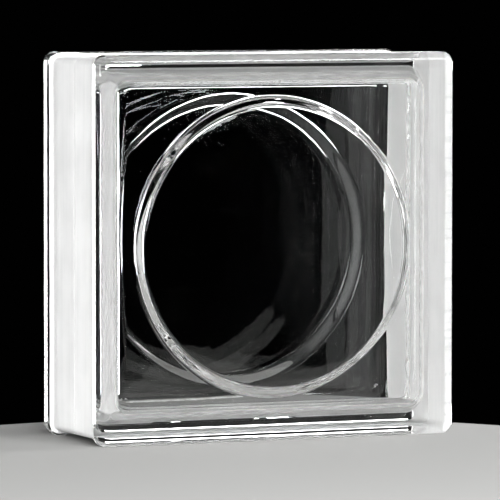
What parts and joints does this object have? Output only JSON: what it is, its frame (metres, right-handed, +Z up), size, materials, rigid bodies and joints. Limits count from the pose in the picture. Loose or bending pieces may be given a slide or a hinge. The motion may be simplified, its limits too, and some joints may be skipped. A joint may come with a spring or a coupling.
{
  "type": "glass block",
  "caption": "Square hollow glass block for walls and partitions, with a round well pressed inside each face, clear rims and a white-coated mortar channel.",
  "frame": {"origin": "under the middle of the block, at the level of the lower rims that it stands on", "axes": "+Z up, the front face towards -Y and the back face towards +Y, X along the width"},
  "size_m": [0.19, 0.08, 0.19],
  "materials": {
    "glass": "polished, clear pressed glass",
    "edge_coating": "matt white bonding coat"
  },
  "bodies": {
    "root": {"front_half": "glass", "back_half": "glass", "edge_coating": "edge_coating"}
  },
  "joints": []
}
